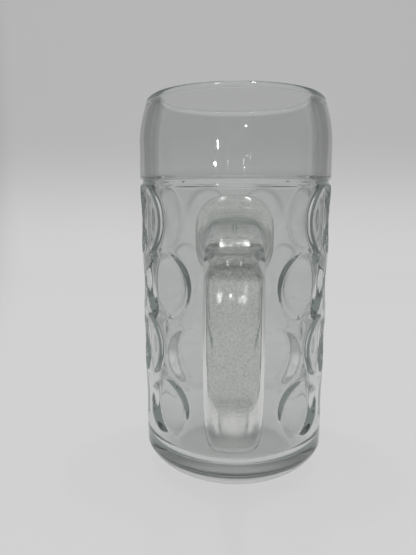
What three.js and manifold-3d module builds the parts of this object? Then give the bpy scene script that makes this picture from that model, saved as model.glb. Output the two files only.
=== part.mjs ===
// Glass beer stein of one litre: a pressed glass body with rows of round dimples and a handle fused to it.
// Millimetres, +Z up, the base stands on z = 0, the axis of the body is the Z axis and the handle points to -Y.
import * as THREE from 'three';
import { mergeVertices } from 'three/addons/utils/BufferGeometryUtils.js';
import Module from 'manifold-3d';

const wasm = await Module();
wasm.setup();

// Body
const mug_height = 204.5;
const band_radius = 52;
const heel_radius = 49.6;
const heel_height = 15.6;
const heel_power = 1.33;
const foot_radius = 29.8;
const floor_thickness = 15;
const floor_fillet = 9;
const wall_at_lip = 7.4;
const wall_at_floor = 6.6;

// Lip: the wall draws in towards the rim and ends in a rounding
const lip_drop = 25;
const lip_draw = 3.7;
const lip_round = 3.8;

// Groove between the plain band and the dimples
const groove_height = 160;
const groove_width = 4.8;
const groove_depth = 1.4;

// Dimples: height and diameter of the rows from the top, the odd rows turned by half a step
const dimples_per_row = 8;
const dimple_rows = [[140, 36], [107, 34], [73.7, 31], [43.2, 29]];
const dimple_depth_share = 0.115;
const cutter_depth = 7;

// Handle: width across the mug, thickness in the plane of the loop
const handle_reach = 103.5;
const grip_width = 24.5;
const grip_thickness = 15;
const root_height = 133.5;
const root_width = 36;
const root_thickness = 38;
const foot_end_height = 35;
const foot_end_width = 25;
const foot_end_thickness = 17;
const section_power = 2.8;

// Stands for the fused joint between handle and body
const joint_gap = 0.3;

const lathe_steps = 64;

function body_radius(z) {
  const top = groove_height - groove_width / 2;
  const t = (z - heel_height) / (top - heel_height);
  return heel_radius + (band_radius - heel_radius) * Math.min(Math.max(t, 0), 1);
}

// Distance from the axis and height of the outer side of the lip, from its start to its rounding
function lip_point(t) {
  return [band_radius - lip_draw * t * t, mug_height - lip_drop + (lip_drop - lip_round) * t];
}

// Outer outline from the axis at the base up to the crest of the lip, grown by an offset
function outer_outline(offset) {
  const points = [[0, 0], [foot_radius + offset, 0]];
  const heel_run = heel_radius - foot_radius;
  for (let i = 1; i <= 7; i++) {
    const a = (i / 7) * Math.PI / 2;
    const out = Math.sin(a) ** heel_power;
    const up = 1 - Math.max(Math.cos(a), 0) ** heel_power;
    points.push([foot_radius + heel_run * out + offset, heel_height * up]);
  }
  const low = groove_height - groove_width / 2;
  for (let i = 1; i <= 9; i++) {
    const z = heel_height + (low - heel_height) * i / 9;
    points.push([body_radius(z) + offset, z]);
  }
  for (let i = 1; i < 6; i++) {
    const a = (i / 6) * Math.PI;
    const z = groove_height - groove_width / 2 * Math.cos(a);
    points.push([band_radius - groove_depth * Math.sin(a) + offset, z]);
  }
  points.push([band_radius + offset, groove_height + groove_width / 2]);
  for (let i = 0; i <= 5; i++) {
    const [r, z] = lip_point(i / 5);
    points.push([r + offset, z]);
  }
  const [edge, shoulder] = lip_point(1);
  for (let i = 1; i <= 4; i++) {
    const a = (i / 4) * Math.PI / 2;
    points.push([edge - lip_round * (1 - Math.cos(a)) + offset, shoulder + lip_round * Math.sin(a)]);
  }
  return points;
}

// Inner outline from the crest of the lip down to the axis at the floor
function inner_outline() {
  const points = [];
  const [edge, shoulder] = lip_point(1);
  const inner_round = wall_at_lip - lip_round;
  for (let i = 1; i <= 4; i++) {
    const a = (i / 4) * Math.PI / 2;
    points.push([edge - lip_round - inner_round * Math.sin(a), shoulder + lip_round * Math.cos(a)]);
  }
  for (let i = 4; i >= 0; i--) {
    const [r, z] = lip_point(i / 5);
    points.push([r - wall_at_lip, z]);
  }
  const bore_floor = heel_radius - wall_at_floor;
  const fillet_top = floor_thickness + floor_fillet;
  points.push([bore_floor, fillet_top]);
  for (let i = 1; i <= 5; i++) {
    const a = (i / 5) * Math.PI / 2;
    points.push([bore_floor - floor_fillet * (1 - Math.cos(a)), fillet_top - floor_fillet * Math.sin(a)]);
  }
  points.push([0, floor_thickness]);
  return points;
}

function revolve(points) {
  const profile = points.map(([r, z]) => new THREE.Vector2(r, z));
  const geometry = new THREE.LatheGeometry(profile, lathe_steps);
  geometry.rotateX(Math.PI / 2);
  return geometry;
}

// Welds a geometry, drops empty triangles and turns it into a solid that faces out
function solid(geometry) {
  const bare = geometry.clone();
  bare.deleteAttribute('normal');
  bare.deleteAttribute('uv');
  const welded = mergeVertices(bare, 1e-4);
  const index = welded.index.array;
  const place = new THREE.Vector3();
  const other = new THREE.Vector3();
  const third = new THREE.Vector3();
  const kept = [];
  let volume = 0;
  for (let i = 0; i < index.length; i += 3) {
    const [a, b, c] = [index[i], index[i + 1], index[i + 2]];
    if (a === b || b === c || c === a) continue;
    kept.push(a, b, c);
    place.fromBufferAttribute(welded.attributes.position, a);
    other.fromBufferAttribute(welded.attributes.position, b);
    third.fromBufferAttribute(welded.attributes.position, c);
    volume += place.dot(other.cross(third));
  }
  if (volume < 0) kept.reverse();
  return new wasm.Manifold(new wasm.Mesh({
    numProp: 3,
    vertProperties: new Float32Array(welded.attributes.position.array),
    triVerts: new Uint32Array(kept),
  }));
}

function mesh_of(manifold, name, material) {
  const made = manifold.getMesh();
  const geometry = new THREE.BufferGeometry();
  geometry.setAttribute('position', new THREE.BufferAttribute(new Float32Array(made.vertProperties), 3));
  geometry.setIndex(new THREE.BufferAttribute(new Uint32Array(made.triVerts), 1));
  geometry.computeVertexNormals();
  const mesh = new THREE.Mesh(geometry, material);
  mesh.name = name;
  return mesh;
}

// A flattened ball, pole to the axis, that leaves a round dimple of the row's size, lifted off the dimple by a gap
function dimple_cutter(row, angle, gap) {
  const [z, diameter] = dimple_rows[row];
  const wall = body_radius(z);
  const half = diameter / 2;
  const depth = diameter * dimple_depth_share;
  const bulge = wall - Math.sqrt(wall * wall - half * half);
  const upright = half / Math.sqrt(1 - (1 - depth / cutter_depth) ** 2);
  const across = half / Math.sqrt(1 - (1 - (depth - bulge) / cutter_depth) ** 2);
  const geometry = new THREE.SphereGeometry(1, 16, 10);
  geometry.scale(across, cutter_depth, upright);
  geometry.translate(0, -(wall - depth + cutter_depth + gap), z);
  geometry.rotateZ(angle);
  return solid(geometry);
}

// Where the handle joins the wall the mould leaves dimples out: two of the top row and one of the bottom row
function handle_covers(row, angle) {
  const across = Math.abs(Math.sin(angle)) * band_radius;
  const front = Math.cos(angle) > 0;
  const top = row === 0 && across < root_width;
  const bottom = row === dimple_rows.length - 1 && across < foot_end_width / 2;
  return front && (top || bottom);
}

let body = solid(revolve([...outer_outline(0), ...inner_outline()]));
for (let row = 0; row < dimple_rows.length; row++) {
  for (let i = 0; i < dimples_per_row; i++) {
    const turn = row % 2 === 0 ? i + 0.5 : i;
    const angle = turn * 2 * Math.PI / dimples_per_row;
    if (!handle_covers(row, angle)) body = body.subtract(dimple_cutter(row, angle, 0));
  }
}

// The handle is a loft along its centre line: distance from the axis, height, width and thickness
const grip_line = handle_reach - grip_thickness / 2;
const inside = band_radius - wall_at_lip - 2;
const foot_inside = heel_radius - wall_at_floor - 2;
const stations = [
  [inside, root_height, root_width - 2, root_thickness - 2],
  [band_radius - 1, root_height, root_width - 1, root_thickness - 1],
  [band_radius + 1.2, root_height, root_width, root_thickness],
  [band_radius + 3, root_height, root_width - 1.2, root_thickness - 1.6],
  [band_radius + 5, root_height, root_width - 3.8, root_thickness - 5.5],
  [band_radius + 7.5, root_height + 0.1, root_width - 7.6, root_thickness - 11.5],
  [band_radius + 11, root_height + 0.3, grip_width + 1.5, grip_thickness + 5.5],
  [band_radius + 16, root_height + 0.4, grip_width + 0.3, grip_thickness + 2],
  [band_radius + 22, root_height - 0.1, grip_width, grip_thickness + 0.5],
  [grip_line - 13, root_height - 2.8, grip_width, grip_thickness],
  [grip_line - 4.5, root_height - 10, grip_width, grip_thickness],
  [grip_line - 0.8, root_height - 19.5, grip_width, grip_thickness],
  [grip_line, root_height - 31, grip_width, grip_thickness],
  [grip_line, root_height - 42, grip_width, grip_thickness],
  [grip_line - 1.2, foot_end_height + 45, grip_width, grip_thickness],
  [grip_line - 5, foot_end_height + 32, grip_width, grip_thickness],
  [grip_line - 13, foot_end_height + 20, grip_width, grip_thickness],
  [heel_radius + 22.5, foot_end_height + 10.5, grip_width, grip_thickness],
  [heel_radius + 11.5, foot_end_height + 4.2, grip_width, grip_thickness],
  [heel_radius + 1.5, foot_end_height, foot_end_width, foot_end_thickness],
  [foot_inside, foot_end_height - 2, foot_end_width - 1, foot_end_thickness],
];

function spline(values) {
  const points = values.map((v) => new THREE.Vector3(v[0], v[1], 0));
  return new THREE.CatmullRomCurve3(points, false, 'catmullrom', 0.5);
}

function handle_solid() {
  const line = spline(stations.map((s) => [s[0], s[1]]));
  const sizes = spline(stations.map((s) => [s[2], s[3]]));
  const along = 44;
  const around = 24;
  const positions = [];
  const index = [];
  for (let i = 0; i <= along; i++) {
    const centre = line.getPoint(i / along);
    const tangent = line.getTangent(i / along);
    const size = sizes.getPoint(i / along);
    for (let j = 0; j < around; j++) {
      const a = (j / around) * 2 * Math.PI;
      const c = Math.cos(a);
      const s = Math.sin(a);
      const x = Math.sign(c) * Math.abs(c) ** (2 / section_power) * size.x / 2;
      const n = Math.sign(s) * Math.abs(s) ** (2 / section_power) * size.y / 2;
      positions.push(x, tangent.y * n - centre.x, centre.y + tangent.x * n);
    }
  }
  for (let i = 0; i < along; i++) {
    for (let j = 0; j < around; j++) {
      const k = (j + 1) % around;
      const [a, b] = [i * around + j, i * around + k];
      index.push(a, b, a + around, b, b + around, a + around);
    }
  }
  const last = along * around;
  for (let j = 1; j < around - 1; j++) {
    index.push(0, j + 1, j);
    index.push(last, last + j, last + j + 1);
  }
  const geometry = new THREE.BufferGeometry();
  geometry.setAttribute('position', new THREE.Float32BufferAttribute(positions, 3));
  geometry.setIndex(index);
  return solid(geometry);
}

// The root fills the top of the dimple below it
const envelope = solid(revolve([...outer_outline(joint_gap), [0, mug_height]]));
const wall_under_root = envelope.subtract(dimple_cutter(1, 0, joint_gap));
const handle = handle_solid().subtract(wall_under_root);

const clear_glass = new THREE.MeshStandardMaterial({ color: 0xdfe6e4, roughness: 0.05 });
const handle_glass = new THREE.MeshStandardMaterial({ color: 0xd9e2df, roughness: 0.12 });

const group = new THREE.Group();
group.name = 'glass_beer_stein';
group.add(mesh_of(body, 'glass_body', clear_glass));
group.add(mesh_of(handle, 'handle', handle_glass));

export default group;
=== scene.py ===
import math

import bmesh
import bpy
from mathutils import Matrix, Vector


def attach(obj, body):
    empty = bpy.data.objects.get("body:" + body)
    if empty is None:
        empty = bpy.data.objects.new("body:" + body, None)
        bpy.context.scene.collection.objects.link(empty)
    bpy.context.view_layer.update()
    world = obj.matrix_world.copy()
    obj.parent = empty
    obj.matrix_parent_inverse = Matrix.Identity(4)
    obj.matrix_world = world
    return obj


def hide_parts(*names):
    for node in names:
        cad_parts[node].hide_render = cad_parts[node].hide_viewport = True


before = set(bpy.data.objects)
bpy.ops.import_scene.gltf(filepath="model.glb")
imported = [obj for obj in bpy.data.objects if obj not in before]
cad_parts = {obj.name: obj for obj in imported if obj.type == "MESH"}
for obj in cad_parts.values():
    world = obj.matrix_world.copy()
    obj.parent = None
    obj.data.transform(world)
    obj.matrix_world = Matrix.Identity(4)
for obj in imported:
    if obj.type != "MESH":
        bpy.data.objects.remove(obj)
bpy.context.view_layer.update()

MM = 0.001

# Body of the stein, in millimetres
MUG_HEIGHT = 204.5
BAND_RADIUS = 52
HEEL_RADIUS = 49.6
HEEL_HEIGHT = 15.6
HEEL_POWER = 1.33
FOOT_RADIUS = 29.8
FLOOR_THICKNESS = 15
FLOOR_FILLET = 9
WALL_AT_LIP = 7.4
WALL_AT_FLOOR = 6.6
LIP_DROP = 25
LIP_DRAW = 3.7
LIP_ROUND = 3.8
GROOVE_HEIGHT = 160
GROOVE_WIDTH = 4.8
GROOVE_DEPTH = 1.4

# Rows of dimples from the top down: height, diameter, turn in steps and the angle left bare at the handle
DIMPLES_PER_ROW = 8
ROWS = (
    (140, 36, 0.5, 30),
    (107, 34, 0.0, 0),
    (73.7, 31, 0.5, 0),
    (43.2, 29, 0.0, 20),
)
DIMPLE_DEPTH = 0.12
DIMPLE_POWER = 3
DIMPLE_EDGE_ROLL = 0.4

# The bore bulges softly behind each dimple: width and depth as shares of the dimple's own,
# and how many times narrower it is across than up
BULGE_WIDTH = 0.98
BULGE_SQUEEZE = 1.23
BULGE_DEPTH = 0.97
BULGE_POWER = 3
BULGE_ROLL = 1.2

# Steps of the body round its axis, and the distance in metres within which points are welded
STEPS_ROUND = 256
WELD = 0.000002

# The stippled face that the stein stands on: the height where it ends, and its roughness
UNDERSIDE = 0.6
STIPPLE = 0.45

# Surface of the glass: waves in metres, and the most that smears add to the roughness
GLASS_IOR = 1.5
WAVE_SCALE = 45
WAVE_HEIGHT = 0.00012
SMEAR = 0.03

# Colours of the glass, and the size and height of its grain in metres
BODY_TINT = (0.812, 0.825, 0.817)
HANDLE_TINT = (0.87, 0.88, 0.865)
PEBBLE_TINT = (0.94, 0.95, 0.935)
# Painted shade: the colour of the pebbled face's grain hollows, darker than its tint
PEBBLE_PAINTED_SHADE = (0.66, 0.67, 0.65)
PEBBLE_HAZE = 0.08
SMOOTH_GRAIN = (0.004, 0.000004)
PEBBLE_GRAIN = (0.0009, 0.00008)

# The shares of the grain's height between which the painted shade of its hollows turns into the tint of its
# tops
HOLLOW_FROM, HOLLOW_TO = 0.35, 0.62

# Light that the glass has mirrored more often than this leaves it straight, tinted by a colour: the tint of
# its long way, and on the body also painted shade at the dimples' edges
MIRRORINGS = 2.5
# On the body this colour is partly the tint of the long way and partly painted shade that darkens the
# dimples' edges
BODY_LONG_WAY_AND_SHADE = (0.29, 0.335, 0.317)
HANDLE_LONG_WAY = (0.80, 0.83, 0.815)

# Handle: distance from the axis, height, width and thickness along its centre line
HANDLE_REACH = 103.5
GRIP_WIDTH = 24.5
GRIP_THICKNESS = 15
ROOT_HEIGHT = 133.5
ROOT_WIDTH = 36
ROOT_THICKNESS = 38
FOOT_END_HEIGHT = 35
FOOT_END_WIDTH = 25
FOOT_END_THICKNESS = 17
SECTION_POWER = 2.8
HANDLE_STEPS = 150
SECTION_STEPS = 64

# Degrees round the section between which the outer face is pebbled
PEBBLED_FROM, PEBBLED_TO = 40, 136

# Mould seam on the outer face: height, degrees beside its middle, and where it starts, ends and fades
SEAM_HEIGHT = 0.35
SEAM_TURNS = (-1.5, -0.6, 0.6, 1.5)
SEAM_START, SEAM_END = 0.38, 0.92
SEAM_FADE = 0.08

# How far the handle's ends reach into the wall
FUSED_DEPTH = 0.5

GRIP_LINE = HANDLE_REACH - GRIP_THICKNESS / 2
HANDLE_STATIONS = (
    (BAND_RADIUS - WALL_AT_LIP + 1, ROOT_HEIGHT, ROOT_WIDTH - 3, ROOT_THICKNESS - 3),
    (BAND_RADIUS - 1, ROOT_HEIGHT, ROOT_WIDTH - 2, ROOT_THICKNESS - 2),
    (BAND_RADIUS + 1, ROOT_HEIGHT, ROOT_WIDTH - 0.4, ROOT_THICKNESS - 0.4),
    (BAND_RADIUS + 3, ROOT_HEIGHT, ROOT_WIDTH, ROOT_THICKNESS),
    (BAND_RADIUS + 5, ROOT_HEIGHT, ROOT_WIDTH - 1, ROOT_THICKNESS - 3),
    (BAND_RADIUS + 7.5, ROOT_HEIGHT, ROOT_WIDTH - 3.2, ROOT_THICKNESS - 8.5),
    (BAND_RADIUS + 10, ROOT_HEIGHT + 0.2, ROOT_WIDTH - 5.8, ROOT_THICKNESS - 13.2),
    (BAND_RADIUS + 13, ROOT_HEIGHT + 0.3, GRIP_WIDTH + 3.2, GRIP_THICKNESS + 6.6),
    (BAND_RADIUS + 17, ROOT_HEIGHT + 0.4, GRIP_WIDTH + 1.2, GRIP_THICKNESS + 3.8),
    (BAND_RADIUS + 22, ROOT_HEIGHT - 0.1, GRIP_WIDTH + 0.2, GRIP_THICKNESS + 1.6),
    (GRIP_LINE - 13, ROOT_HEIGHT - 2.8, GRIP_WIDTH, GRIP_THICKNESS),
    (GRIP_LINE - 4.5, ROOT_HEIGHT - 10, GRIP_WIDTH, GRIP_THICKNESS),
    (GRIP_LINE - 0.8, ROOT_HEIGHT - 19.5, GRIP_WIDTH, GRIP_THICKNESS),
    (GRIP_LINE, ROOT_HEIGHT - 31, GRIP_WIDTH, GRIP_THICKNESS),
    (GRIP_LINE, ROOT_HEIGHT - 42, GRIP_WIDTH, GRIP_THICKNESS),
    (GRIP_LINE - 1.2, FOOT_END_HEIGHT + 45, GRIP_WIDTH, GRIP_THICKNESS),
    (GRIP_LINE - 5, FOOT_END_HEIGHT + 32, GRIP_WIDTH, GRIP_THICKNESS),
    (GRIP_LINE - 13, FOOT_END_HEIGHT + 20, GRIP_WIDTH, GRIP_THICKNESS),
    (HEEL_RADIUS + 22.5, FOOT_END_HEIGHT + 10.5, GRIP_WIDTH, GRIP_THICKNESS),
    (HEEL_RADIUS + 11.5, FOOT_END_HEIGHT + 4.2, GRIP_WIDTH, GRIP_THICKNESS),
    (HEEL_RADIUS + 1.5, FOOT_END_HEIGHT, FOOT_END_WIDTH, FOOT_END_THICKNESS),
    (HEEL_RADIUS - WALL_AT_FLOOR + 1, FOOT_END_HEIGHT - 2, FOOT_END_WIDTH - 1, FOOT_END_THICKNESS),
)

# Sweep: its paper, its glow to the camera and through the glass, and the share of the glow
PAPER = 0.68
GLOW = 0.72
GLOW_SHARE = 0.75

# Painted shade on the sweep: where it dims, in metres, and its brightness before and after: aside, with
# height and far up
ASIDE_DIM = (0.13, 0.33, 1.0, 0.6)
ASIDE_SPREAD = 0.385
RISE_DIM = (0.0, 0.35, 1.0, 0.74)
TOP_DIM = (0.75, 1.5, 1.0, 0.35)

# Lamps: place, target, size in metres and power in watts
LAMPS = {
    "left_overhead_lamp": ((-0.28, 0.1, 1.6), (0, 0, 0.2), (0.08, 0.08), 2.5),
    "right_overhead_lamp": ((0.28, 0.1, 1.6), (0, 0, 0.2), (0.08, 0.08), 2.5),
    "left_lamp": ((-0.49, -1.42, 0.325), (0, 0, 0.15), (0.03, 0.02), 2.4),
    "left_low_lamp": ((-0.56, -1.39, 0.262), (0, 0, 0.15), (0.02, 0.015), 0.8),
    "right_lamp": ((0.31, -1.46, 0.56), (0, 0, 0.15), (0.04, 0.03), 0.7),
    "right_low_lamp": ((0.265, -1.48, 0.235), (0, 0, 0.15), (0.03, 0.02), 1.6),
}
WORLD_GREY = 0.44

# Camera: metres, degrees and pixels of a picture of this height
CAMERA_DISTANCE = 0.3035
CAMERA_HEIGHT = 0.1497
CAMERA_PITCH = 8.036
CAMERA_YAW = -2.811
FOCAL_PIXELS = 540.8
PICTURE_HEIGHT = 555
SENSOR_SIZE = 36


def body_radius(z):
    top = GROOVE_HEIGHT - GROOVE_WIDTH / 2
    t = (z - HEEL_HEIGHT) / (top - HEEL_HEIGHT)
    return HEEL_RADIUS + (BAND_RADIUS - HEEL_RADIUS) * min(max(t, 0), 1)


# Node helpers

def math_node(tree, operation, *values):
    node = tree.nodes.new("ShaderNodeMath")
    node.operation = operation
    for socket, value in zip(node.inputs, values):
        if isinstance(value, (int, float)):
            socket.default_value = value
        else:
            tree.links.new(value, socket)
    return node.outputs[0]


def new_tree(name, inputs, outputs, kind="GeometryNodeTree"):
    tree = bpy.data.node_groups.new(name, kind)
    for label, socket in inputs:
        tree.interface.new_socket(label, in_out="INPUT", socket_type=socket)
    for label, socket in outputs:
        tree.interface.new_socket(label, in_out="OUTPUT", socket_type=socket)
    return tree, tree.nodes.new("NodeGroupInput").outputs, tree.nodes.new("NodeGroupOutput").inputs


def dimple_share(tree, given):
    """Where a point of the wall lies in its nearest dimple, and that dimple's angle.

    The place is 0 in the middle and 1 on the edge.
    """
    step = math_node(tree, "DIVIDE", 2 * math.pi, given["Count"])
    place = math_node(tree, "SUBTRACT", math_node(tree, "DIVIDE", given["Angle"], step), given["Turn"])
    nearest = math_node(tree, "ROUND", place)
    turned = math_node(tree, "MULTIPLY", math_node(tree, "SUBTRACT", place, nearest), step)
    across = math_node(tree, "MULTIPLY", turned, given["Wall radius"])
    up = math_node(tree, "SUBTRACT", given["Height"], given["Row height"])
    across_square = math_node(tree, "MULTIPLY", across, across)
    up_square = math_node(tree, "MULTIPLY", up, up)
    away = math_node(tree, "SQRT", math_node(tree, "ADD", across_square, up_square))
    share = math_node(tree, "DIVIDE", away, math_node(tree, "MULTIPLY", given["Diameter"], 0.5))
    centre = math_node(tree, "MULTIPLY", math_node(tree, "ADD", nearest, given["Turn"]), step)
    return share, centre


def dimple_shown(tree, given, centre):
    """1 where the row has its dimple, 0 at the angles left bare."""
    kept = math_node(tree, "GREATER_THAN", math_node(tree, "ABSOLUTE", centre), given["Bare angle"])
    always = math_node(tree, "LESS_THAN", given["Bare angle"], 0.001)
    return math_node(tree, "MAXIMUM", kept, always)


# Materials

def new_material(name):
    material = bpy.data.materials.new(name)
    material.use_nodes = True
    tree = material.node_tree
    shader = tree.nodes["Principled BSDF"]
    place = tree.nodes.new("ShaderNodeTexCoord")
    return material, tree, shader, place.outputs["Object"]


def glass_surface_group():
    """The surface of pressed glass: slow waves, smears, a grain, and a stippled face to stand on."""
    real = "NodeSocketFloat"
    labels = ["Wave scale", "Wave height", "Smear", "Grain scale", "Grain height", "Haze"]
    labels += ["Stipple top", "Stipple"]
    inputs = [("Place", "NodeSocketVector")] + [(label, real) for label in labels]
    outputs = [("Roughness", real), ("Hollow shade", real), ("Normal", "NodeSocketVector")]
    tree, given, put = new_tree("pressed_glass_surface", inputs, outputs, "ShaderNodeTree")
    link = tree.links.new

    def noise(scale, detail):
        texture = tree.nodes.new("ShaderNodeTexNoise")
        texture.inputs["Detail"].default_value = detail
        link(given["Place"], texture.inputs["Vector"])
        link(scale, texture.inputs["Scale"])
        return texture.outputs["Fac"]

    def bump(height, distance):
        node = tree.nodes.new("ShaderNodeBump")
        node.inputs["Strength"].default_value = 1.0
        link(height, node.inputs["Height"])
        link(distance, node.inputs["Distance"])
        return node

    waves = noise(given["Wave scale"], 1.0)
    grain = noise(given["Grain scale"], 2.0)
    wave_bump = bump(waves, given["Wave height"])
    grain_bump = bump(grain, given["Grain height"])
    link(wave_bump.outputs["Normal"], grain_bump.inputs["Normal"])
    link(grain_bump.outputs["Normal"], put["Normal"])

    spot = tree.nodes.new("ShaderNodeSeparateXYZ")
    link(given["Place"], spot.inputs[0])
    under = math_node(tree, "LESS_THAN", spot.outputs["Z"], given["Stipple top"])
    stipple = math_node(tree, "MULTIPLY", under, given["Stipple"])
    smears = math_node(tree, "MULTIPLY", waves, given["Smear"])
    rough = math_node(tree, "MAXIMUM", smears, stipple)
    link(math_node(tree, "ADD", rough, given["Haze"]), put["Roughness"])

    # Mask of the painted shade in the hollows of the grain: 0 in the hollows, 1 on the tops
    hollow_shade = tree.nodes.new("ShaderNodeMapRange")
    hollow_shade.inputs["From Min"].default_value = HOLLOW_FROM
    hollow_shade.inputs["From Max"].default_value = HOLLOW_TO
    link(grain, hollow_shade.inputs["Value"])
    link(hollow_shade.outputs["Result"], put["Hollow shade"])
    return tree


GLASS_SURFACE = glass_surface_group()


def let_caught_light_out(tree, shader, caught_light_colour):
    """Lets light that the glass has mirrored several times go straight on, tinted once by the given colour:
    its long way, and on the body also painted shade.
    """
    path = tree.nodes.new("ShaderNodeLightPath")
    caught = math_node(tree, "GREATER_THAN", path.outputs["Glossy Depth"], MIRRORINGS)
    tinted = math_node(tree, "GREATER_THAN", path.outputs["Transparent Depth"], 0.5)
    colour = tree.nodes.new("ShaderNodeMix")
    colour.data_type = "RGBA"
    colour.inputs["A"].default_value = (*caught_light_colour, 1)
    colour.inputs["B"].default_value = (1, 1, 1, 1)
    tree.links.new(tinted, colour.inputs["Factor"])
    straight = tree.nodes.new("ShaderNodeBsdfTransparent")
    tree.links.new(colour.outputs["Result"], straight.inputs["Color"])
    mix = tree.nodes.new("ShaderNodeMixShader")
    tree.links.new(caught, mix.inputs[0])
    tree.links.new(shader.outputs[0], mix.inputs[1])
    tree.links.new(straight.outputs[0], mix.inputs[2])
    tree.links.new(mix.outputs[0], tree.nodes["Material Output"].inputs["Surface"])


def glass_material(name, tint, caught_light_colour, grain, haze=0.0, shade=None):
    """Clear pressed glass, with a grain of the stated size and height in metres.

    With a shade, the hollows of the grain are painted in that darker colour, as painted shade of the
    stipple.
    """
    material, tree, shader, place = new_material(name)
    shader.inputs["Base Color"].default_value = (*tint, 1)
    shader.inputs["Transmission Weight"].default_value = 1.0
    shader.inputs["IOR"].default_value = GLASS_IOR
    grain_size, grain_height = grain
    surface = tree.nodes.new("ShaderNodeGroup")
    surface.node_tree = GLASS_SURFACE
    values = {
        "Wave scale": WAVE_SCALE,
        "Wave height": WAVE_HEIGHT,
        "Smear": SMEAR,
        "Grain scale": 1 / grain_size,
        "Grain height": grain_height,
        "Haze": haze,
        "Stipple top": UNDERSIDE * MM,
        "Stipple": STIPPLE,
    }
    for label, value in values.items():
        surface.inputs[label].default_value = value
    tree.links.new(place, surface.inputs["Place"])
    tree.links.new(surface.outputs["Roughness"], shader.inputs["Roughness"])
    tree.links.new(surface.outputs["Normal"], shader.inputs["Normal"])
    # Painted shade: the hollows of the grain take the darker colour, the tops keep the tint
    if shade:
        colour = tree.nodes.new("ShaderNodeMix")
        colour.data_type = "RGBA"
        colour.inputs["A"].default_value = (*shade, 1)
        colour.inputs["B"].default_value = (*tint, 1)
        tree.links.new(surface.outputs["Hollow shade"], colour.inputs["Factor"])
        tree.links.new(colour.outputs["Result"], shader.inputs["Base Color"])
    let_caught_light_out(tree, shader, caught_light_colour)
    return material


CLEAR_GLASS = glass_material("clear_pressed_glass", BODY_TINT, BODY_LONG_WAY_AND_SHADE, SMOOTH_GRAIN)
HANDLE_GLASS = glass_material("handle_glass", HANDLE_TINT, HANDLE_LONG_WAY, SMOOTH_GRAIN)
PEBBLED_GLASS = glass_material(
    "pebbled_handle_glass", PEBBLE_TINT, HANDLE_LONG_WAY, PEBBLE_GRAIN, PEBBLE_HAZE, PEBBLE_PAINTED_SHADE
)


# Body: a profile turned round the axis, with the dimples pressed in

def quarter(steps, first=1):
    return [i / steps * math.pi / 2 for i in range(first, steps + 1)]


def lip_point(t):
    """Where the outer side of the lip is, with t from 0 at its start to 1 at its rounding."""
    rise = LIP_DROP - LIP_ROUND
    return BAND_RADIUS - LIP_DRAW * t * t, MUG_HEIGHT - LIP_DROP + rise * t


def outer_profile():
    points = [(FOOT_RADIUS * i / 6, 0) for i in range(7)]
    run = HEEL_RADIUS - FOOT_RADIUS
    for a in quarter(30):
        out, up = math.sin(a) ** HEEL_POWER, 1 - max(math.cos(a), 0) ** HEEL_POWER
        points.append((FOOT_RADIUS + run * out, HEEL_HEIGHT * up))
    low = GROOVE_HEIGHT - GROOVE_WIDTH / 2
    steps = 130
    for i in range(1, steps + 1):
        z = HEEL_HEIGHT + (low - HEEL_HEIGHT) * i / steps
        points.append((body_radius(z), z))
    for i in range(1, 16):
        t = i / 16
        dip = 0.5 - 0.5 * math.cos(2 * math.pi * t)
        points.append((BAND_RADIUS - GROOVE_DEPTH * dip, low + GROOVE_WIDTH * t))
    lip_start = MUG_HEIGHT - LIP_DROP
    high = GROOVE_HEIGHT + GROOVE_WIDTH / 2
    points += [(BAND_RADIUS, high + (lip_start - high) * i / 8) for i in range(9)]
    points += [lip_point(i / 14) for i in range(1, 15)]
    edge, shoulder = lip_point(1)
    for a in quarter(10):
        points.append((edge - LIP_ROUND * (1 - math.cos(a)), shoulder + LIP_ROUND * math.sin(a)))
    return points


def inner_profile():
    crest = BAND_RADIUS - LIP_DRAW - LIP_ROUND
    bore_top = BAND_RADIUS - WALL_AT_LIP
    bore_floor = HEEL_RADIUS - WALL_AT_FLOOR
    points = []
    shoulder = lip_point(1)[1]
    inner_round = WALL_AT_LIP - LIP_ROUND
    for a in quarter(10):
        points.append((crest - inner_round * math.sin(a), shoulder + LIP_ROUND * math.cos(a)))
    for i in range(13, -1, -1):
        r, z = lip_point(i / 14)
        points.append((r - WALL_AT_LIP, z))
    fillet_top = FLOOR_THICKNESS + FLOOR_FILLET
    top = MUG_HEIGHT - LIP_DROP
    steps = 110
    for i in range(1, steps + 1):
        t = i / steps
        points.append((bore_top + (bore_floor - bore_top) * t, top + (fillet_top - top) * t))
    for a in quarter(12):
        inward, down = FLOOR_FILLET * (1 - math.cos(a)), FLOOR_FILLET * math.sin(a)
        points.append((bore_floor - inward, fillet_top - down))
    flat = bore_floor - FLOOR_FILLET
    points += [(flat * (1 - i / 8), FLOOR_THICKNESS) for i in range(1, 9)]
    return points


def dimple_row_tree():
    """How deep one row of round dimples is at a point of the wall.

    The bare angle leaves dimples out round the handle.
    """
    real = "NodeSocketFloat"
    labels = ["Angle", "Height", "Wall radius", "Row height", "Turn", "Count"]
    labels += ["Diameter", "Depth", "Power", "Edge roll", "Bare angle"]
    tree, given, put = new_tree("dimple_row", [(label, real) for label in labels], [("Pressed in", real)])
    share, centre = dimple_share(tree, given)
    bowl = math_node(tree, "SUBTRACT", 1.0, math_node(tree, "POWER", share, given["Power"]))
    deep = math_node(tree, "MULTIPLY", bowl, math_node(tree, "MULTIPLY", given["Depth"], given["Diameter"]))
    rolled = math_node(tree, "SMOOTH_MAX", deep, 0.0, given["Edge roll"])
    shown = dimple_shown(tree, given, centre)
    tree.links.new(math_node(tree, "MULTIPLY", rolled, shown), put["Pressed in"])
    return tree


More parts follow.
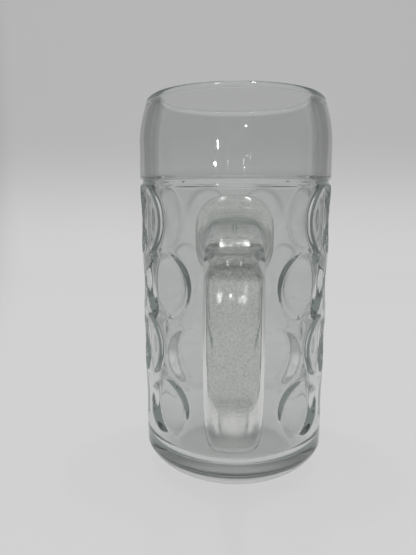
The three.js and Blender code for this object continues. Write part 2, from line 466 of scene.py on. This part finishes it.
def stein_body_tree():
    """Turns the profile round the axis and presses the rows of dimples into its outer side.

    The bore bulges behind each dimple.
    """
    real, whole = "NodeSocketFloat", "NodeSocketInt"
    inputs = [("Profile", "NodeSocketGeometry"), ("Steps round", whole), ("Dimples per row", real)]
    inputs += [("Dimple depth", real), ("Dimple power", real), ("Edge roll", real)]
    inputs += [(f"Bulge {part}", real) for part in ("width", "squeeze", "depth", "power", "roll")]
    for i in range(1, len(ROWS) + 1):
        inputs += [(f"Row {i} {part}", real) for part in ("height", "diameter", "turn", "bare angle")]
    inputs.append(("Glass", "NodeSocketMaterial"))
    tree, given, put = new_tree("stein_body", inputs, [("Body", "NodeSocketGeometry")])
    link = tree.links.new

    size = tree.nodes.new("GeometryNodeAttributeDomainSize")
    link(given["Profile"], size.inputs["Geometry"])
    grid = tree.nodes.new("GeometryNodeMeshGrid")
    grid.inputs["Size X"].default_value = 1.0
    grid.inputs["Size Y"].default_value = 1.0
    link(math_node(tree, "ADD", given["Steps round"], 1), grid.inputs["Vertices X"])
    link(size.outputs["Point Count"], grid.inputs["Vertices Y"])
    position = tree.nodes.new("GeometryNodeInputPosition")
    spot = tree.nodes.new("ShaderNodeSeparateXYZ")
    link(position.outputs[0], spot.inputs[0])
    angle = math_node(tree, "MULTIPLY", spot.outputs["X"], 2 * math.pi)
    last = math_node(tree, "SUBTRACT", size.outputs["Point Count"], 1)
    along = math_node(tree, "ADD", spot.outputs["Y"], 0.5)
    row = math_node(tree, "ROUND", math_node(tree, "MULTIPLY", along, last))

    def sampled(kind, value):
        node = tree.nodes.new("GeometryNodeSampleIndex")
        node.data_type = kind
        link(given["Profile"], node.inputs["Geometry"])
        link(value, node.inputs["Value"])
        link(row, node.inputs["Index"])
        return node.outputs[0]

    point = tree.nodes.new("ShaderNodeSeparateXYZ")
    link(sampled("FLOAT_VECTOR", position.outputs[0]), point.inputs[0])
    outside = tree.nodes.new("GeometryNodeInputNamedAttribute")
    outside.data_type = "FLOAT"
    outside.inputs["Name"].default_value = "outside"
    side = sampled("FLOAT", outside.outputs["Attribute"])

    def by_side(inner, outer):
        gap = math_node(tree, "SUBTRACT", outer, inner)
        return math_node(tree, "ADD", inner, math_node(tree, "MULTIPLY", gap, side))

    width = by_side(given["Bulge width"], 1.0)
    reach = math_node(tree, "MULTIPLY", point.outputs["X"], by_side(given["Bulge squeeze"], 1.0))
    inner_depth = math_node(tree, "DIVIDE", given["Bulge depth"], given["Bulge width"])
    depth = math_node(tree, "MULTIPLY", given["Dimple depth"], by_side(inner_depth, 1.0))
    power = by_side(given["Bulge power"], given["Dimple power"])
    roll = by_side(given["Bulge roll"], given["Edge roll"])
    pressed = 0.0
    row_tree = dimple_row_tree()
    for i in range(1, len(ROWS) + 1):
        rows = tree.nodes.new("GeometryNodeGroup")
        rows.node_tree = row_tree
        link(angle, rows.inputs["Angle"])
        link(point.outputs["Z"], rows.inputs["Height"])
        link(reach, rows.inputs["Wall radius"])
        link(given[f"Row {i} height"], rows.inputs["Row height"])
        link(math_node(tree, "MULTIPLY", given[f"Row {i} diameter"], width), rows.inputs["Diameter"])
        link(given[f"Row {i} turn"], rows.inputs["Turn"])
        link(given[f"Row {i} bare angle"], rows.inputs["Bare angle"])
        link(given["Dimples per row"], rows.inputs["Count"])
        link(depth, rows.inputs["Depth"])
        link(power, rows.inputs["Power"])
        link(roll, rows.inputs["Edge roll"])
        pressed = math_node(tree, "MAXIMUM", rows.outputs[0], pressed)
    radius = math_node(tree, "SUBTRACT", point.outputs["X"], pressed)
    turned = tree.nodes.new("ShaderNodeCombineXYZ")
    link(math_node(tree, "MULTIPLY", radius, math_node(tree, "SINE", angle)), turned.inputs["X"])
    back = math_node(tree, "MULTIPLY", radius, math_node(tree, "COSINE", angle))
    link(math_node(tree, "MULTIPLY", back, -1.0), turned.inputs["Y"])
    link(point.outputs["Z"], turned.inputs["Z"])
    moved = tree.nodes.new("GeometryNodeSetPosition")
    link(grid.outputs["Mesh"], moved.inputs["Geometry"])
    link(turned.outputs[0], moved.inputs["Position"])
    welded = tree.nodes.new("GeometryNodeMergeByDistance")
    welded.inputs["Distance"].default_value = WELD
    link(moved.outputs[0], welded.inputs["Geometry"])
    real_mesh = tree.nodes.new("GeometryNodeRealizeInstances")
    link(welded.outputs[0], real_mesh.inputs[0])
    dressed = tree.nodes.new("GeometryNodeSetMaterial")
    link(real_mesh.outputs[0], dressed.inputs["Geometry"])
    link(given["Glass"], dressed.inputs["Material"])
    link(dressed.outputs[0], put["Body"])
    return tree


def new_object(name, mesh):
    thing = bpy.data.objects.new(name, mesh)
    bpy.context.scene.collection.objects.link(thing)
    return thing


def plain_mesh(thing):
    """The finished mesh of an object, with its modifiers made real and taken off."""
    seen = thing.evaluated_get(bpy.context.evaluated_depsgraph_get())
    made = bpy.data.meshes.new_from_object(seen)
    thing.modifiers.clear()
    thing.data = made
    return made


def facing_out(mesh):
    """Merges doubles and turns the faces of a closed mesh outwards."""
    work = bmesh.new()
    work.from_mesh(mesh)
    bmesh.ops.remove_doubles(work, verts=work.verts, dist=WELD)
    if work.calc_volume(signed=True) < 0:
        bmesh.ops.reverse_faces(work, faces=work.faces)
    work.to_mesh(mesh)
    work.free()


def pressed_object(name, tree, outer, inner):
    """A closed turned solid from an outer and an inner profile.

    The dimples are pressed into its outer side, and its inner side bulges behind them.
    """
    points = outer + inner
    profile = bpy.data.meshes.new(name)
    places = [(r * MM, 0, z * MM) for r, z in points]
    edges = [(i, i + 1) for i in range(len(points) - 1)]
    profile.from_pydata(places, edges, [])
    marks = profile.attributes.new("outside", "FLOAT", "POINT")
    marks.data.foreach_set("value", [1.0 if i < len(outer) else 0.0 for i in range(len(points))])
    thing = new_object(name, profile)
    pressing = thing.modifiers.new("pressing", "NODES")
    pressing.node_group = tree
    sizes = {
        "Steps round": STEPS_ROUND,
        "Dimples per row": float(DIMPLES_PER_ROW),
        "Dimple depth": DIMPLE_DEPTH,
        "Dimple power": float(DIMPLE_POWER),
        "Edge roll": DIMPLE_EDGE_ROLL * MM,
        "Bulge width": BULGE_WIDTH,
        "Bulge squeeze": BULGE_SQUEEZE,
        "Bulge depth": BULGE_DEPTH,
        "Bulge power": float(BULGE_POWER),
        "Bulge roll": BULGE_ROLL * MM,
        "Glass": CLEAR_GLASS,
    }
    for i, (height, diameter, turn, bare) in enumerate(ROWS, 1):
        sizes[f"Row {i} height"] = height * MM
        sizes[f"Row {i} diameter"] = diameter * MM
        sizes[f"Row {i} turn"] = turn
        sizes[f"Row {i} bare angle"] = math.radians(bare)
    for item in tree.interface.items_tree:
        if item.in_out == "INPUT" and item.name in sizes:
            pressing[item.identifier] = sizes[item.name]
    mesh = plain_mesh(thing)
    facing_out(mesh)
    mesh.materials.clear()
    mesh.materials.append(CLEAR_GLASS)
    mesh.polygons.foreach_set("material_index", [0] * len(mesh.polygons))
    return thing


# Handle: a loft along its centre line, in the plane of the loop

def on_spline(values, t):
    """A point on the smooth curve through the values, with t from 0 to 1."""
    spans = len(values) - 1
    i = min(int(t * spans), spans - 1)
    u = t * spans - i
    here, there = values[i], values[i + 1]
    before = values[i - 1] if i > 0 else [2 * a - b for a, b in zip(here, there)]
    after = values[i + 2] if i + 2 <= spans else [2 * b - a for a, b in zip(here, there)]
    point = []
    for p0, p1, p2, p3 in zip(before, here, there, after):
        t0, t1 = (p2 - p0) / 2, (p3 - p1) / 2
        square = 3 * (p2 - p1) - 2 * t0 - t1
        cube = 2 * (p1 - p2) + t0 + t1
        point.append(p1 + t0 * u + square * u ** 2 + cube * u ** 3)
    return point


def signed_power(value, power):
    return math.copysign(abs(value) ** power, value)


def seam_rise(turn, t):
    """How far the mould seam stands out of the middle of the outer face."""
    near = max(1 - abs(turn - 90) / SEAM_TURNS[-1], 0)
    fade = min((t - SEAM_START) / SEAM_FADE, (SEAM_END - t) / SEAM_FADE, 1)
    return SEAM_HEIGHT * near * max(fade, 0)


def make_handle():
    """The handle with its seam, closed at both ends, which still run right through the wall."""
    turns = [j / SECTION_STEPS * 360 for j in range(SECTION_STEPS)]
    turns = sorted(turns + [90 + side for side in SEAM_TURNS])
    ahead = 0.002
    work = bmesh.new()
    rings = []
    for i in range(HANDLE_STEPS + 1):
        t = i / HANDLE_STEPS
        r, z, width, thick = on_spline(HANDLE_STATIONS, t)
        r1, z1, _, _ = on_spline(HANDLE_STATIONS, max(t - ahead, 0))
        r2, z2, _, _ = on_spline(HANDLE_STATIONS, min(t + ahead, 1))
        way = Vector((r2 - r1, z2 - z1)).normalized()
        ring = []
        for turn in turns:
            a = math.radians(turn)
            x = signed_power(math.cos(a), 2 / SECTION_POWER) * width / 2
            n = signed_power(math.sin(a), 2 / SECTION_POWER) * thick / 2 + seam_rise(turn, t)
            ring.append(work.verts.new(Vector((x, way.y * n - r, z + way.x * n)) * MM))
        rings.append(ring)
    for one, two in zip(rings, rings[1:]):
        for j in range(len(turns)):
            k = (j + 1) % len(turns)
            face = work.faces.new((one[j], one[k], two[k], two[j]))
            face.material_index = 1 if PEBBLED_FROM < turns[j] < PEBBLED_TO else 0
    work.faces.new(rings[0])
    work.faces.new(rings[-1])
    bmesh.ops.recalc_face_normals(work, faces=work.faces)
    mesh = bpy.data.meshes.new("handle_loft")
    work.to_mesh(mesh)
    work.free()
    mesh.materials.append(HANDLE_GLASS)
    mesh.materials.append(PEBBLED_GLASS)
    facing_out(mesh)
    return new_object("stein_handle", mesh)


def finish_piece(thing, node):
    for face in thing.data.polygons:
        face.use_smooth = True
    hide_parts(node)
    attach(thing, "root")


press_tree = stein_body_tree()
body = pressed_object("stein_body", press_tree, outer_profile(), inner_profile())
handle = make_handle()

# The ends of the handle reach a little into the wall, as the fused glass does
inside = [(max(r - FUSED_DEPTH, 0), z) for r, z in outer_profile()]
core = pressed_object("wall_core", press_tree, inside, [(0, MUG_HEIGHT)])
cutting = handle.modifiers.new("cutting", "BOOLEAN")
cutting.operation = "DIFFERENCE"
cutting.solver = "MANIFOLD"
cutting.object = core
plain_mesh(handle)
bpy.data.objects.remove(core)
finish_piece(body, "glass_body")
finish_piece(handle, "handle")


# Floor, light and camera

def smooth_ramp(tree, value, start, end, first, last):
    """Goes smoothly from first to last while the value goes from start to end."""
    node = tree.nodes.new("ShaderNodeMapRange")
    node.interpolation_type = "SMOOTHSTEP"
    for label, number in (("From Min", start), ("From Max", end), ("To Min", first), ("To Max", last)):
        node.inputs[label].default_value = number
    tree.links.new(value, node.inputs["Value"])
    return node.outputs["Result"]


def sweep_material():
    """Pale paper that glows to the camera and through the glass and keeps part of the shadow; painted shade
    dims it aside, with height and far up.
    """
    material, tree, shader, place = new_material("pale_sweep")
    spot = tree.nodes.new("ShaderNodeSeparateXYZ")
    tree.links.new(place, spot.inputs[0])
    # Painted shade: the sweep's paper and glow dim aside, with height and far up
    aside = math_node(tree, "ABSOLUTE", spot.outputs["X"])
    behind = math_node(tree, "MULTIPLY", math_node(tree, "MAXIMUM", spot.outputs["Y"], 0.0), ASIDE_SPREAD)
    level = smooth_ramp(tree, math_node(tree, "SUBTRACT", aside, behind), *ASIDE_DIM)
    for dim in (RISE_DIM, TOP_DIM):
        level = math_node(tree, "MULTIPLY", level, smooth_ramp(tree, spot.outputs["Z"], *dim))
    paper = tree.nodes.new("ShaderNodeCombineColor")
    light = tree.nodes.new("ShaderNodeCombineColor")
    for channel in ("Red", "Green", "Blue"):
        tree.links.new(math_node(tree, "MULTIPLY", level, PAPER), paper.inputs[channel])
        tree.links.new(math_node(tree, "MULTIPLY", level, GLOW), light.inputs[channel])
    tree.links.new(paper.outputs[0], shader.inputs["Base Color"])
    shader.inputs["Roughness"].default_value = 0.8
    glow = tree.nodes.new("ShaderNodeEmission")
    tree.links.new(light.outputs[0], glow.inputs["Color"])
    path = tree.nodes.new("ShaderNodeLightPath")
    seen = math_node(tree, "MAXIMUM", path.outputs["Is Camera Ray"], path.outputs["Is Glossy Ray"])
    seen = math_node(tree, "MAXIMUM", seen, path.outputs["Is Transmission Ray"])
    mix = tree.nodes.new("ShaderNodeMixShader")
    tree.links.new(math_node(tree, "MULTIPLY", seen, GLOW_SHARE), mix.inputs[0])
    tree.links.new(shader.outputs[0], mix.inputs[1])
    tree.links.new(glow.outputs[0], mix.inputs[2])
    tree.links.new(mix.outputs[0], tree.nodes["Material Output"].inputs["Surface"])
    return material


def make_sweep():
    """A floor that bends up into a backdrop behind the stein."""
    bend, back, front, side, top, floor = 0.5, 1.3, -2.2, 2.5, 2.4, -0.0003
    line = [(front, floor), (back - bend, floor)]
    for a in quarter(24):
        line.append((back - bend + bend * math.sin(a), floor + bend * (1 - math.cos(a))))
    line.append((back, top))
    points = [(x, y, z) for y, z in line for x in (-side, side)]
    faces = [(2 * i, 2 * i + 1, 2 * i + 3, 2 * i + 2) for i in range(len(line) - 1)]
    mesh = bpy.data.meshes.new("sweep")
    mesh.from_pydata(points, [], faces)
    mesh.materials.append(sweep_material())
    for face in mesh.polygons:
        face.use_smooth = True
    sweep = new_object("sweep", mesh)


def add_lamp(name, place, target, size, power):
    lamp = bpy.data.lights.new(name, "AREA")
    lamp.shape = "RECTANGLE"
    lamp.size, lamp.size_y = size
    lamp.energy = power
    thing = new_object(name, lamp)
    thing.location = place
    thing.rotation_euler = (Vector(target) - Vector(place)).to_track_quat("-Z", "Y").to_euler()


def add_camera():
    pitch, yaw = math.radians(CAMERA_PITCH), math.radians(CAMERA_YAW)
    level = math.cos(pitch)
    ahead = Vector((math.sin(yaw) * level, math.cos(yaw) * level, -math.sin(pitch)))
    right = Vector((math.cos(yaw), -math.sin(yaw), 0))
    up = right.cross(ahead)
    camera = bpy.data.cameras.new("camera")
    camera.sensor_width = SENSOR_SIZE
    camera.lens = FOCAL_PIXELS / PICTURE_HEIGHT * SENSOR_SIZE
    camera.clip_start = 0.01
    thing = new_object("camera", camera)
    turn = Matrix((right, up, -ahead)).transposed()
    thing.matrix_world = Matrix.Translation((0, -CAMERA_DISTANCE, CAMERA_HEIGHT)) @ turn.to_4x4()
    bpy.context.scene.camera = thing


make_sweep()
for name, values in LAMPS.items():
    add_lamp(name, *values)
add_camera()

world = bpy.data.worlds.new("studio")
bpy.context.scene.world = world
world.use_nodes = True
world.node_tree.nodes["Background"].inputs["Color"].default_value = (WORLD_GREY, WORLD_GREY, WORLD_GREY, 1)
bpy.context.scene.view_settings.view_transform = "Standard"
